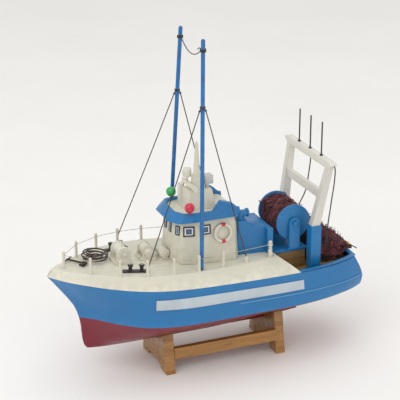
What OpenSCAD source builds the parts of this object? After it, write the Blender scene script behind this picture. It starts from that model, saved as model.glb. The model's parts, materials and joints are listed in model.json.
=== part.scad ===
// Stern trawler model with a whaleback foredeck, net drum and stern gallows, on a wooden stand.
// Millimetres. +X runs aft, +Y to starboard, +Z up; the origin is on the floor under amidships.

/* [Hull] */
// Distance from the origin forward to the tip of the stem
bow_x = 260; // [240:1:280]
// Largest half breadth of the hull at the painted waterline
half_beam = 98; // [88:1:106]
// Height of the painted waterline above the floor
waterline_z = 105; // [95:1:115]
// Thickness of the hull shell and of the whaleback
wall = 2.5; // [1.5:0.1:4]

/* [Deck gear] */
// Height of the outrigger boom tips above the floor
boom_top = 550; // [450:1:600]
// Diameter of the outrigger booms
boom_d = 6.6; // [4:0.5:8]
// Radius of the net drum flanges
flange_r = 30; // [24:1:34]
// Height of the gallows beam above the floor
beam_z = 332; // [300:1:350]

/* [Stand] */
// Half width of the stand across its feet
stand_half = 56; // [46:1:70]
// Thickness of the two end boards
board_t = 16; // [10:1:20]

/* [Hidden] */
$fn = 48;
gap = 0.3;

// ---------------------------------------------------------------- hull lines
// Fractions of the length of every level line, stem to transom.
T = [0, 0.04, 0.1, 0.18, 0.27, 0.36, 0.5, 0.7, 0.82, 0.9, 0.96, 1];
// Half breadths of the eight level lines, keel to sheer, at the fractions above.
BREADTHS = [
    [1.5, 3.5, 4, 4, 4, 4, 4, 4, 4, 4, 4, 4],
    [1.5, 6, 13, 22, 26, 27, 27, 27, 34, 38, 34, 31],
    [1.5, 9, 29, 48, 55, 56, 56, 53, 56, 58, 52, 46],
    [1.5, 14, 40, 68, 80, 82, 82, 78, 75, 70, 62, 53],
    [1.5, 17, 49, 80, 94, 98, 98, 96, 90, 80, 69, 58],
    [1.5, 16, 44, 75, 90, 96, 97, 96, 91, 82, 71, 61],
    [1.5, 18, 43, 71, 87, 93, 94.5, 93, 89, 81, 71, 61],
    [1.5, 22, 43, 67, 83, 89.5, 91, 89.5, 86, 80, 70, 60]
];
STEM_X = [-198, -203, -206, -207.5, -210.5, -219, -240, -bow_x];
TRANSOM_X = [262, 265, 268, 269.5, 270, 272, 265, 256];
HEIGHTS = [
    [48, 47, 46, 45.5, 45, 45, 46, 54, 73, 86, 93, 97],
    [54, 52, 53.5, 57.5, 58.5, 59.5, 61.5, 65.5, 78, 88, 95, 99],
    [68, 66, 67, 72, 74, 75.5, 77, 80, 87.5, 93, 97, 101],
    [88, 87, 87, 88, 89, 90, 91.5, 94.5, 97.5, 100, 101.5, 103],
    [105, 105, 105, 105, 105, 105, 105, 105, 105, 105, 105, 105],
    [128, 127, 126, 125, 125, 124, 124, 123, 123, 122, 122, 122],
    [158, 155, 152, 149, 147, 146, 145, 143, 142, 141, 141, 141],
    [184, 181, 177, 173, 168.5, 165, 162, 159.5, 158.5, 158, 158, 158]
];
LEVELS = [0, 1, 2, 3, 4, 5, 6, 7];
COLUMNS = 50;
WHALEBACK_END = 0.78;

function span_of(x, xs, i = 0) = (i >= len(xs) - 2 || x < xs[i + 1]) ? i : span_of(x, xs, i + 1);
function slope_at(xs, ys, i) =
    let (a = max(i - 1, 0), b = min(i + 1, len(xs) - 1)) (ys[b] - ys[a]) / (xs[b] - xs[a]);
// Smooth curve through the listed points.
function smooth(x, xs, ys) =
    let (
        i = span_of(x, xs),
        h = xs[i + 1] - xs[i],
        s = (x - xs[i]) / h,
        m0 = slope_at(xs, ys, i) * h,
        m1 = slope_at(xs, ys, i + 1) * h
    )
    (2 * s * s * s - 3 * s * s + 1) * ys[i] + (s * s * s - 2 * s * s + s) * m0
    + (3 * s * s - 2 * s * s * s) * ys[i + 1] + (s * s * s - s * s) * m1;
function across(level, values) = smooth(level, LEVELS, values);

// Point on the port skin of the hull; grow is positive outside the skin.
function skin(level, t, grow = 0) =
    let (
        x0 = across(level, STEM_X),
        x1 = across(level, TRANSOM_X),
        y = across(level, [for (row = BREADTHS) smooth(t, T, row)]) * half_beam / 98,
        z = across(level, [for (row = HEIGHTS) smooth(t, T, row)]) + waterline_z - 105,
        end = max(0, (t - 0.9) / 0.1)
    )
    [
        x0 - grow * 1.6 + (x1 - x0 + grow * 2.6) * t,
        -max(y + grow, 0.6),
        z - (level < 3 ? grow * (1 - level / 3) : 0) - (level < 3 ? grow * 0.2 * end : 0)
    ];
function flip(p) = [p[0], -p[1], p[2]];

// Closed ring of points round the hull at one level: port stern, stem, starboard stern, transom.
function ring(level, grow, n = COLUMNS) = concat(
    [for (k = [n:-1:0]) skin(level, k / n, grow)],
    [for (k = [0:n]) flip(skin(level, k / n, grow))],
    let (p = skin(level, 1, grow))
    [for (k = [1:5]) let (a = 1 - k / 3) [p[0] + 1.5 * (1 - a * a), -p[1] * a, p[2]]]
);
RING = 2 * COLUMNS + 7;

// Skin of two-sided quads between stacked rings, as triangles.
function ring_faces(rows, n, flipped = false, start = 0) = [
    for (j = [0:rows - 2]) for (i = [0:n - 1])
        let (
            a = start + j * n + i,
            b = start + j * n + (i + 1) % n,
            c = a + n,
            d = b + n
        )
        each flipped ? [[a, b, d], [a, d, c]] : [[a, d, b], [a, c, d]]
];
// Flat cap over one ring, port side paired with starboard.
function cap_faces(start, up) = [
    for (i = [0:COLUMNS - 1])
        let (
            a = start + i, b = start + i + 1,
            c = start + 2 * COLUMNS - i, d = start + 2 * COLUMNS + 1 - i
        )
        each up ? [[a, c, b], [a, d, c]] : [[a, b, c], [a, c, d]],
    for (k = [0:4])
        let (o = start, e = start + 2 * COLUMNS + 1)
        up ? [o, e + k + 1, e + k] : [o, e + k, e + k + 1]
];

// Band of hull between two levels, open above and below.
module hull_band(levels) {
    rows = len(levels);
    outer = [for (l = levels) each ring(l, 0)];
    inner = [for (k = [rows - 1:-1:0]) each ring(levels[k], -wall)];
    points = concat(outer, inner, ring(levels[0], 0));
    polyhedron(points = [for (p = concat(outer, inner)) p],
        faces = concat(
            ring_faces(2 * rows, RING),
            [for (i = [0:RING - 1])
                let (a = (2 * rows - 1) * RING + i, b = (2 * rows - 1) * RING + (i + 1) % RING,
                    c = i, d = (i + 1) % RING)
                each [[a, d, b], [a, c, d]]]),
        convexity = 8);
}

// Bowl closed along the keel.
module hull_bowl(levels) {
    rows = len(levels);
    outer = [for (l = levels) each ring(l, 0)];
    inner = [for (k = [rows - 1:-1:0]) each ring(levels[k], -wall)];
    polyhedron(points = concat(outer, inner),
        faces = concat(
            ring_faces(2 * rows, RING),
            cap_faces(0, false),
            cap_faces((2 * rows - 1) * RING, true)),
        convexity = 8);
}

// ---------------------------------------------------------------- whaleback lines
DECK_X = [-252, -240, -200, -159, -118, -73, -32, 12, 56, 103, 116];
DECK_Y = [1, 13, 40, 63, 75, 79, 77, 72, 64, 54, 51];
DECK_Z = [196, 195.4, 193.6, 192.2, 190, 187.5, 185, 183, 181, 179, 178.5];
function deck_z(x) = lookup(x, [for (i = [0:len(DECK_X) - 1]) [DECK_X[i], DECK_Z[i]]]);
function deck_y(x) = smooth(x, DECK_X, DECK_Y);

BAND_SHARES = [0, 0.45, 0.9, 1];

// Rim to rim row of points over the whaleback at share s of its length; drop lowers the under side.
function whaleback_row(s, drop) =
    let (
        rim = skin(7, s * WHALEBACK_END),
        x = DECK_X[0] + (DECK_X[10] - DECK_X[0]) * s,
        edge = [x, -max(deck_y(x) - drop * 0.6, 0.5), deck_z(x) - drop],
        low = [rim[0] + drop * 0.4, min(rim[1] + drop, -0.5), rim[2]],
        port = [
            for (k = BAND_SHARES)
                let (bulge = 1.6 * sin(180 * min(k, 1)))
                low + (edge - low) * k + [0, -bulge * 0.6, bulge * 0.6]
        ]
    )
    concat(port, [[x, 0, deck_z(x) - drop]], [for (i = [3:-1:0]) flip(port[i])]);

module whaleback() {
    n = 39;
    m = 9;
    top = [for (k = [0:n]) each whaleback_row(k / n, 0)];
    under = [for (k = [0:n]) each whaleback_row(k / n, wall)];
    size = (n + 1) * m;
    polyhedron(points = concat(top, under), faces = concat(
        [for (k = [0:n - 1]) for (i = [0:m - 2])
            let (a = k * m + i, b = a + 1, c = a + m, d = c + 1)
            each [[a, b, d], [a, d, c], [size + a, size + d, size + b], [size + a, size + c, size + d]]],
        [for (k = [0:n - 1]) let (a = k * m, c = a + m) each [[a, c, size + c], [a, size + c, size + a]]],
        [for (k = [0:n - 1]) let (a = k * m + m - 1, c = a + m)
            each [[a, size + c, c], [a, size + a, size + c]]],
        [for (i = [0:m - 2]) each [[i, size + i + 1, i + 1], [i, size + i, size + i + 1]]],
        [for (i = [0:m - 2]) let (a = n * m + i)
            each [[a, a + 1, size + a + 1], [a, size + a + 1, size + a]]]
    ), convexity = 8);
}

// ---------------------------------------------------------------- small helpers
// The drawing runs from a frame line; this puts the origin under the middle of the overall length.
module centred() { translate([-7, 0, 0]) children(); }
// Straight rod between two points.
module rod(a, b, d) {
    v = b - a;
    translate(a)
        rotate([0, acos(v[2] / norm(v)), atan2(v[1], v[0])])
            cylinder(h = norm(v), d = d);
}
// Block standing on the sloping deck, its foot cut to the sheer.
module deck_block(x0, x1, y0, y1, top) {
    translate([0, y1, 0]) rotate([90, 0, 0]) linear_extrude(y1 - y0)
        polygon([[x0, deck_z(x0) + 0.05], [x1, deck_z(x1) + 0.05], [x1, top], [x0, top]]);
}
// Shape drawn in X and Z, spread evenly about y.
module side_plate(y, thickness) {
    translate([0, y + thickness / 2, 0]) rotate([90, 0, 0]) linear_extrude(thickness) children();
}
module both_sides() {
    children();
    mirror([0, 1, 0]) children();
}
// Solid with one outline below and one above, point for point.
module loft(low, high, z0, z1) {
    n = len(low);
    polyhedron(
        points = concat([for (p = low) [p[0], p[1], z0]], [for (p = high) [p[0], p[1], z1]]),
        faces = concat(
            [[for (i = [0:n - 1]) i]],
            [[for (i = [n - 1:-1:0]) n + i]],
            [for (i = [0:n - 1]) let (j = (i + 1) % n) [i, n + i, n + j, j]]));
}

// ---------------------------------------------------------------- stand
fore_board_x = -82;
aft_board_x = 116;

// Half outline of the hull bottom at one station, lowered by the resting gap.
function bottom_at(x, levels) = [
    for (l = levels)
        let (
            t = (x - across(l, STEM_X)) / (across(l, TRANSOM_X) - across(l, STEM_X)),
            p = skin(l, t)
        )
        [-p[1], p[2] - gap]
];
module end_board(x, full_x) {
    cradle = bottom_at(full_x, [0, 0.5, 1, 1.3, 1.6]);
    n = len(cradle);
    reach = cradle[n - 1];
    half = concat(
        [[26, 8], [32, 0], [stand_half, 0]],
        [[reach[0] + 1, reach[1] - 1]],
        [for (k = [n - 1:-1:0]) cradle[k]]);
    translate([x, 0, 0]) rotate([90, 0, 90]) linear_extrude(board_t)
        polygon(concat(half, [for (k = [len(half) - 1:-1:0]) [-half[k][0], half[k][1]]]));
}
module stand_end_boards() {
    color("#9c7442") {
        end_board(fore_board_x, fore_board_x + board_t);
        difference() {
            end_board(aft_board_x, aft_board_x);
            // Slot for the keel.
            translate([aft_board_x - 1, -3.3, 45.7]) cube([board_t + 2, 6.6, 60]);
        }
    }
}
module stand_rails() {
    color("#a97d45") both_sides()
        translate([fore_board_x + board_t, -53, 24])
            cube([aft_board_x - fore_board_x - board_t, 9, 20]);
}

// ---------------------------------------------------------------- hull pieces
module hull_bottom() {
    color("#7d2d3c") difference() {
        hull_bowl([0, 0.5, 1, 1.5, 2, 2.5, 3, 3.5, 4]);
        stern_tube_line(8.1);
        translate([rudder_x, 0, 60]) cylinder(h = 60, d = 8.1);
    }
}
module hull_topsides() {
    color("#3a7db0") hull_band([4, 4.5, 5, 5.5, 6, 6.5, 6.985]);
}

rudder_x = 236;
shaft_rise = 5;
prop_x = 207;
prop_z = 69;
// Cylinder on the shaft line; from and to are measured forward of the propeller.
module on_shaft(from, to, d) {
    translate([prop_x, 0, prop_z]) rotate([0, -90 + shaft_rise, 0])
        translate([0, 0, from]) cylinder(h = to - from, d = d);
}
module stern_tube_line(d) { on_shaft(8, 110, d); }

module keel_skeg() {
    ts = [for (k = [28:41]) k / COLUMNS];
    top = [for (t = ts) let (p = skin(0, t)) [p[0], p[2]]];
    color("#7d2d3c") difference() {
        side_plate(0, 6)
            polygon(concat(top, [[top[13][0] - 1, 52], [100, 46], [top[0][0] - 6, 46]]));
        stern_tube_line(8.1);
    }
}

// Flat cap along the top of the after bulwark.
module bulwark_cap() {
    n = 11;
    ts = [for (k = [0:n]) (39 + k) / COLUMNS];
    outer = [for (t = ts) let (p = skin(7, t, 0.8)) [p[0], p[1]]];
    inner = [for (t = ts) let (p = skin(7, t, -5)) [p[0], p[1]]];
    function mirrored(list) = [for (k = [len(list) - 1:-1:0]) [list[k][0], -list[k][1]]];
    stern = skin(7, 1)[0];
    color("#3a7db0") translate([0, 0, 159.7]) linear_extrude(2)
        polygon(concat(
            outer, [[stern + 2.5, -20], [stern + 2.5, 20]], mirrored(outer),
            [for (k = [0:n]) [inner[k][0], -inner[k][1]]],
            [[stern - 4, 20], [stern - 4, -20]],
            [for (k = [n:-1:0]) inner[k]]));
}

// Share of a level line's length at a station.
function t_at(level, x) = (x - across(level, STEM_X)) / (across(level, TRANSOM_X) - across(level, STEM_X));
// Thin strip lying on the hull skin between two levels and two stations.
module skin_strip(low, high, x0, x1, proud) {
    n = 40;
    function edge(level, k, grow) = skin(level, t_at(level, x0 + (x1 - x0) * k / n), grow);
    near = [for (k = [0:n]) each [edge(low, k, 0.4), edge(high, k, 0.4)]];
    far = [for (k = [0:n]) each [edge(low, k, proud), edge(high, k, proud)]];
    size = 2 * (n + 1);
    polyhedron(points = concat(near, far), faces = concat(
        [for (k = [0:n - 1]) let (a = 2 * k, f = size + a) each [
            [a, a + 1, a + 3], [a, a + 3, a + 2],
            [f, f + 3, f + 1], [f, f + 2, f + 3],
            [a, a + 2, f + 2], [a, f + 2, f],
            [a + 1, f + 3, a + 3], [a + 1, f + 1, f + 3]]],
        [[0, size, size + 1], [0, size + 1, 1],
         [2 * n, 2 * n + 1, size + 2 * n + 1], [2 * n, size + 2 * n + 1, size + 2 * n]]
    ), convexity = 6);
}
module rubbing_strakes() {
    color("#7fa9c9") both_sides() skin_strip(5.13, 5.21, 30, 268, 0.9);
}
module side_boards() {
    color("#d3d6da") both_sides() skin_strip(5.45, 6.25, -108.5, 145, 1.2);
}
module whaleback_deck() {
    color("#e4ddc4") difference() {
        whaleback();
        translate([-38, -32, 150]) cube([76, 64, 60]);
    }
}

deck_level = 145;
module working_deck() {
    n = 16;
    side = [for (k = [0:n])
        let (t = 0.7 + 0.3 * k / n, p = skin(6, t, -wall - 0.7), q = skin(6.25, t, -wall - 0.7))
        [min(p[0], q[0]), max(p[1], q[1])]];
    color("#9a7646") translate([0, 0, deck_level - 4]) linear_extrude(4)
        polygon(concat(side, [for (k = [n:-1:0]) [side[k][0], -side[k][1]]]));
}
module drum_platform() {
    color("#3a7db0") translate([117, -40, 177]) cube([59, 80, 4]);
}
module platform_sides() {
    color("#9a7646") difference() {
        translate([119, -37, deck_level + 0.05]) cube([55, 74, 31.9]);
        translate([122, -34, deck_level - 1]) cube([49, 68, 40]);
    }
}

// ---------------------------------------------------------------- rails and small deck gear
// Stations of the rail posts along the deck edge, stem post first.
POST_X = [-200, -159, -118, -75, -32, 12];
post_h = 25;
function post_at(x) = [x, -(deck_y(x) - 3), deck_z(x)];

module post(p) {
    translate([p[0], p[1], p[2] + 0.2]) {
        cylinder(h = 1.2, d = 7);
        cylinder(h = post_h, d = 4.6);
        translate([0, 0, post_h]) sphere(d = 5, $fn = 24);
    }
}
// Short stub that the after stays are tied to.
stub_x = 56;
stub_h = 10;
module stub(p) {
    translate([p[0], p[1], p[2] + 0.2]) {
        cylinder(h = 1.2, d = 7);
        cylinder(h = stub_h, d = 4.6);
    }
}
module end_post() {
    p = post_at(103);
    translate([p[0], p[1], p[2] + 0.2]) {
        cylinder(h = 12, d = 7.4);
        cylinder(h = 24, d = 5.4);
        translate([0, 0, 20]) cylinder(h = 2, d = 8.4);
        translate([0, 0, 25]) sphere(d = 6.6, $fn = 24);
    }
}
module bow_rail_posts() {
    color("#e4ddc4") {
        post([-232, 0, deck_z(-232)]);
        both_sides() {
            for (x = POST_X) post(post_at(x));
            stub(post_at(stub_x));
            end_post();
        }
    }
}
// Wire drawn between two posts, stopping just short of both.
wire_z = post_h - 4;
// How far from a post's middle the wire stops: further at the thick end post.
function wire_cut(i) = i == 6 ? 4.5 : 2.4;
module wire_span(a, b, cut_a, cut_b) {
    v = (b - a) / norm(b - a);
    rod(a + v * cut_a, b - v * cut_b, 0.9);
}
module rail_wires() {
    up = [0, 0, wire_z];
    stem = [-232, 0, deck_z(-232)] + up;
    tops = [for (x = concat(POST_X, [103])) post_at(x) + up];
    color("#c9c6bb") both_sides() {
        wire_span(stem, tops[0], wire_cut(0), wire_cut(0));
        for (i = [0:5]) wire_span(tops[i], tops[i + 1], wire_cut(i), wire_cut(i + 1));
    }
}
// Twin mushroom posts on a plate that follows the deck edge.
module bollard_pair() {
    a = [-150, -(deck_y(-150) - 22)];
    b = [-108, -(deck_y(-108) - 22)];
    turn = atan2(b[1] - a[1], b[0] - a[0]);
    translate([a[0], a[1], deck_z(-150) + 0.1]) rotate([0, 0, turn]) rotate([0, 3, 0]) {
        translate([0, -5, 0]) cube([42, 10, 2]);
        for (x = [12, 30]) translate([x, 0, 2]) {
            cylinder(h = 8, d = 6);
            translate([0, 0, 8]) cylinder(h = 2.4, d = 9);
        }
    }
}
module bollards() {
    color("#2b2226") both_sides() bollard_pair();
}
module anchor() {
    color("#3a3230") translate([-207, 9, deck_z(-207) + 3.4]) rotate([0, 2, -48]) {
        rotate([0, 90, 0]) translate([0, 0, -20]) cylinder(h = 36, d = 3);
        rotate([90, 0, 0]) translate([-18, 0, -11]) cylinder(h = 22, d = 2.4);
        translate([13, -9, -1.5]) cube([3.5, 12, 3]);
        for (y = [-9, 1]) translate([8, y, -1.5]) cube([8, 2, 3]);
    }
}
// Outer shape of the coiled anchor rope lying on the deck.
module anchor_rope() {
    color("#3d2b26") translate([-176, 16, deck_z(-176) + 1.4]) rotate([0, 3, 0])
        rotate_extrude() translate([16, 7]) circle(d = 13, $fn = 32);
}

// ---------------------------------------------------------------- windlass and winch
windlass_x = -138;
windlass_z = deck_z(-152) + 17;
function arch(x, foot, axis_z, r) = concat(
    [[x - r, foot], [x + r, foot]],
    [for (a = [0:15:180]) [x + r * cos(a), axis_z + r * sin(a)]]);
module windlass_frame() {
    base = deck_z(-152) + 4;
    union() {
        deck_block(-153, -123, -18, 14, base);
        for (y = [-15.5, 11.5]) difference() {
            side_plate(y, 5) polygon(arch(windlass_x, base, windlass_z, 12));
            translate([windlass_x, y, windlass_z]) rotate([90, 0, 0])
                cylinder(h = 8, d = 4.1, center = true);
        }
    }
}
// Waisted rope drum turning between the two cheeks.
module windlass_drum() {
    color("#d9d5c8") translate([windlass_x, -2, windlass_z]) rotate([90, 0, 0]) {
        cylinder(h = 39, d = 4, center = true);
        rotate_extrude() polygon([[1.9, -10.5], [11, -10.5], [10, -8], [6.5, -3], [6.5, 3],
            [10, 8], [11, 10.5], [1.9, 10.5]]);
        for (s = [-1, 1]) translate([0, 0, s * 18.6]) cylinder(h = 2.4, d = 7, center = true);
    }
}
winch_x = -94;
winch_z = deck_z(-94) + 15;
module winch_bracket() {
    union() {
        deck_block(-107, -81, -12, 18, deck_z(-107) + 3);
        for (y = [-10.2, 16.2]) difference() {
            side_plate(y, 3) polygon([[-105, deck_z(-107) + 3], [-83, deck_z(-107) + 3],
                [winch_x + 5, winch_z + 5], [winch_x - 5, winch_z + 5]]);
            translate([winch_x, y, winch_z]) rotate([90, 0, 0])
                cylinder(h = 6, d = 5.1, center = true);
        }
    }
}
module winch_frames() {
    color("#e4ddc4") {
        windlass_frame();
        winch_bracket();
    }
}
module winch_barrel() {
    color("#e4ddc4") translate([winch_x, 3, winch_z]) rotate([90, 0, 0]) {
        cylinder(h = 38, d = 5, center = true);
        cylinder(h = 22, d = 18, center = true);
        for (s = [-1, 1]) translate([0, 0, s * 9.5]) cylinder(h = 3, d = 21, center = true);
        for (s = [-1, 1]) translate([0, 0, s * 18]) cylinder(h = 5, d = 14, center = true);
    }
}
// Round tank lying in a saddle just ahead of the house.
module deck_tank() {
    top = deck_z(-78) + 3;
    color("#e4ddc4") {
        deck_block(-76, -60.5, -16, 4, top);
        translate([-68.4, -6, top + 8]) rotate([90, 0, 0]) {
            cylinder(h = 22, d = 16.4, center = true);
            cylinder(h = 25, d = 7, center = true);
        }
    }
}

// ---------------------------------------------------------------- outrigger booms and lines
boom_foot = [-26, -70, deck_z(-27) + 4];
boom_head = [-14, -46, boom_top];
function along_boom(z) = boom_foot + (boom_head - boom_foot) * (z - boom_foot[2]) / (boom_top - boom_foot[2]);
collar_low = along_boom(444);
collar_high = along_boom(536);
module outrigger_booms() {
    color("#2f6ea5") both_sides() {
        rod(boom_foot, boom_head, boom_d);
        translate(boom_head) sphere(d = boom_d, $fn = 32);
        rod(along_boom(442), along_boom(446), boom_d + 2.4);
        rod(along_boom(534.5), along_boom(537.5), boom_d + 2.4);
        translate([boom_foot[0], boom_foot[1], deck_z(-27) + 0.2]) cylinder(h = 4.2, d = 4);
        translate([boom_foot[0], boom_foot[1], deck_z(-27) + 0.2]) cylinder(h = 1.4, d = 6);
    }
}

// Twisted threads from each boom collar to a rail post forward and aft, with their knots.
stay_d = 1.4;
module boom_stays() {
    color("#4d4038") both_sides()
        for (x = [-118, stub_x]) {
            knot = post_at(x) + [0, 0, x < 0 ? post_h - 10 : stub_h + 1];
            side = x < 0 ? -1 : 1;
            start = collar_low + [side * (boom_d / 2 + 2), 0, -2];
            rod(start, knot + [0, -3.4, 0], stay_d);
            translate(knot) difference() {
                sphere(d = x < 0 ? 8 : 9, $fn = 24);
                cylinder(h = 12, d = 4.7, center = true);
            }
        }
}

// Slack line tied between the two boom heads.
tip_sag = 16;
function tip_point(u) = let (y = -41.6 + 83.2 * u)
    [-14.6, y, 536 - 4 * tip_sag * u * (1 - u)];
module boom_tip_line() { color("#2c2826") swept([for (k = [0:16]) tip_point(k / 16)], 1.6, 8); }

// Round tube through a list of points, one ring of sides per point.
module swept(path, d, sides) {
    n = len(path);
    function way(i) = let (v = path[min(i + 1, n - 1)] - path[max(i - 1, 0)]) v / norm(v);
    function across_way(i) =
        let (w = way(i), a = abs(w[0]) > 0.8 ? [0, 1, 0] : [1, 0, 0], c = cross(w, a)) c / norm(c);
    points = [for (i = [0:n - 1])
        let (w = way(i), p = across_way(i), q = cross(w, p))
        for (k = [0:sides - 1])
            path[i] + (p * cos(360 * k / sides) + q * sin(360 * k / sides)) * d / 2];
    polyhedron(points = points, faces = concat(
        [[for (k = [0:sides - 1]) k]],
        [[for (k = [sides - 1:-1:0]) (n - 1) * sides + k]],
        [for (i = [0:n - 2]) for (k = [0:sides - 1])
            let (a = i * sides + k, b = i * sides + (k + 1) % sides)
            each [[a, a + sides, b + sides], [a, b + sides, b]]]), convexity = 6);
}

// ---------------------------------------------------------------- bridge house
// Plan of the house at a height: port half, bow to stern, leaning in as it rises.
HOUSE = [[-60, -22], [-49, -42], [-28, -47], [43, -47], [51, -38]];
LEAN = [[1, 0.4], [0.8, 0.9], [0.3, 1], [-0.1, 1], [-0.4, 0.7]];
lean_rate = 0.09;
function house_plan(z, inset = 0) =
    let (
        k = (z - 187) * lean_rate,
        port = [for (i = [0:4]) HOUSE[i] + LEAN[i] * (k + inset)]
    )
    concat(port, [for (i = [4:-1:0]) [port[i][0], -port[i][1]]]);
house_top = 258;

module house_walls() {
    color("#dcd5bd") difference() {
        loft(house_plan(170), house_plan(house_top), 170, house_top);
        loft(house_plan(165, wall), house_plan(260, wall), 165, 260);
        side_plate(0, 200)
            polygon(concat([[-90, 100]], [for (x = [-90, -73, -32, 12, 56, 80]) [x, deck_z(x) + gap + 0.1]],
                [[80, 100]]));
    }
}
// Frame for something fixed flat on wall i of the house, share along it, z up it.
module on_wall(i, share, z) {
    plan = house_plan(z);
    p = plan[i] + (plan[i + 1] - plan[i]) * share;
    v = plan[i + 1] - plan[i];
    translate([p[0], p[1], z]) rotate([0, 0, atan2(v[1], v[0])])
        rotate([-atan(lean_rate), 0, 0]) translate([0, -0.35, 0]) children();
}
window_z = 240.5;
module each_window() {
    for (side = [0, 1]) mirror([0, side, 0]) {
        on_wall(1, 0.5, window_z) children();
        on_wall(2, 0.26, window_z) children();
    }
}
// Narrow windows of the bow front.
module each_slit() {
    for (side = [0, 1]) mirror([0, side, 0]) {
        on_wall(0, 0.5, window_z) children();
        front_window() children();
    }
}
module front_window() {
    x = house_plan(window_z)[0][0];
    translate([x, -10.2, window_z]) rotate([0, 0, -90])
        rotate([-atan(lean_rate), 0, 0]) translate([0, -0.35, 0]) children();
}
module slab(w, h, y0, y1) {
    translate([-w / 2, -y1, -h / 2]) cube([w, y1 - y0, h]);
}
module house_windows() {
    color("#211c1e") {
        each_window() {
            difference() {
                slab(18.5, 16.4, 0, 1.4);
                slab(14.2, 12.2, -1, 3);
            }
            difference() {
                slab(9.4, 8.4, 0.85, 1.25);
                slab(8, 7, -1, 3);
            }
        }
        each_slit() difference() {
            slab(8.4, 15, 0, 1.4);
            slab(5.4, 11.4, -1, 3);
        }
    }
}
module window_panes() {
    color("#dfe6ec") {
        each_window() difference() {
            slab(14, 12, 0, 0.8);
            slab(8, 7, 0.4, 3);
        }
        each_slit() slab(5.2, 11.2, 0, 0.8);
    }
}

visor_low = [[-66, -29], [-54, -47], [-30, -50], [46, -49.5], [53, -41]];
visor_high = [[-54, -22], [-45, -42], [-27, -45.5], [46, -45.5], [52.5, -39]];
function full(port) = concat(port, [for (i = [4:-1:0]) [port[i][0], -port[i][1]]]);
module visor() {
    color("#3a7db0") {
        difference() {
            loft(full(visor_low), full(visor_high), house_top + 0.1, 270);
            translate([0, 0, 200]) linear_extrude(100) polygon(house_plan(house_top, wall));
            // Open at the back, between the two wings.
            translate([40, -36.5, 200]) cube([30, 73, 100]);
        }
        both_sides() side_plate(-41.3, 9.4)
            polygon([[5, 269], [18, 286], [38, 280], [51, 268], [50, 262], [45, 262], [40, 269]]);
    }
}
module house_roof() {
    color("#e4ddc4") translate([0, 0, 262]) linear_extrude(5)
        polygon(house_plan(house_top, wall + 0.15));
}

// Life rings, one on each side wall.
module each_ring() {
    for (side = [0, 1]) mirror([0, side, 0]) on_wall(2, 0.69, 231.5) rotate([90, 0, 0]) children();
}
ring_r = 14;
module life_rings() {
    color("#e4ddc4") each_ring() translate([0, 0, 3.1]) difference() {
        rotate_extrude() translate([ring_r, 0]) circle(d = 5.2, $fn = 32);
        for (a = [90, 270]) rotate([0, 0, a - 14]) rotate_extrude(angle = 28)
            translate([ring_r - 4, -4]) square([8, 8]);
    }
}
module life_ring_bands() {
    color("#c22a3f") each_ring() translate([0, 0, 3.1])
        for (a = [90, 270]) rotate([0, 0, a - 14]) rotate_extrude(angle = 28)
            translate([ring_r, 0]) circle(d = 5.5, $fn = 32);
}

lamp_x = -34.5;
module lamp_body(side) {
    translate([lamp_x, side * 40.5, 270.1]) {
        cylinder(h = 4, d = 4);
        translate([0, 0, 10.6]) sphere(d = 16.4);
    }
}
module lamp_port() { color("#c22a45") lamp_body(-1); }
module lamp_starboard() { color("#2fa35a") lamp_body(1); }

module roof_house() {
    low = [[-28, -20], [20, -20], [20, 20], [-28, 20]];
    high = [[-24, -15], [15, -15], [15, 15], [-24, 15]];
    upper_low = [[-14, -8], [6, -8], [6, 8], [-14, 8]];
    upper_high = [[-12, -6], [2, -6], [2, 6], [-12, 6]];
    color("#dcd5bd") {
        loft(low, high, 267.1, 297);
        loft(upper_low, upper_high, 297, 320);
        translate([-30, -22, 267.1]) cube([52, 44, 1.5]);
    }
}
module mast() {
    color("#e0d9c4") {
        translate([-6, 0, 320.1]) cylinder(h = 53, d1 = 11, d2 = 5);
        translate([-6, 0, 320.1]) cylinder(h = 3, d = 11.9);
        translate([-6, 0, 373]) sphere(d = 5.4, $fn = 32);
        translate([-19.5, -30, 300]) cube([4, 60, 7]);
        translate([-15.5, 0, 303.5]) rotate([0, 90, 0]) cylinder(h = 2, d = 6);
    }
}
lamp_post_y = 12;
module search_lamp() {
    color("#dcd8c8") translate([-17.5, lamp_post_y, 307.2]) {
        cylinder(h = 7.9, d = 3);
        translate([0, 0, 7.8]) cylinder(h = 12.5, d = 14);
        translate([-7.5, 0, 14]) rotate([0, 90, 0]) cylinder(h = 4, d = 8);
    }
}
module vent_pipe() {
    color("#eeebe2") translate([-22, 28, 267.1]) {
        cylinder(h = 31, d = 11);
        cylinder(h = 2, d = 11.8);
    }
}
module roof_box() {
    color("#c9cac6") translate([6.3, -9, 304]) {
        cube([13, 14, 14]);
        translate([4, 6, -6.9]) cylinder(h = 7, d = 6);
    }
}

// ---------------------------------------------------------------- casing behind the house
casing = [[54.2, deck_z(54) + 0.1], [104, deck_z(104) + 0.15], [104, 225], [88, 226], [76, 232.5],
    [70, 240], [54.2, 240]];
module engine_casing() {
    color("#3a7db0") {
        difference() {
            side_plate(0, 60) polygon(casing);
            side_plate(0, 55) polygon([[57, 100], [101, 100], [101, 222.5], [87, 223.5], [74, 230.5], [69, 237.5],
                [57, 237.5]]);
        }
        translate([104, -38, 179.4]) cube([10, 76, 43]);
    }
}
// Bent ventilator pipe with its mouth facing aft.
module cowl_vent() {
    color("#3a7db0") translate([62, -20, 240.1]) {
        cylinder(h = 4, d = 15);
        difference() {
            union() {
                cylinder(h = 12, d = 11);
                translate([0, 0, 10]) rotate([0, 90, 0]) cylinder(h = 13, d = 11);
                translate([0, 0, 10]) sphere(d = 11);
                translate([11, 0, 10]) rotate([0, 90, 0]) cylinder(h = 3, d = 14);
            }
            translate([4, 0, 10]) rotate([0, 90, 0]) cylinder(h = 20, d = 10);
        }
    }
}

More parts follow.
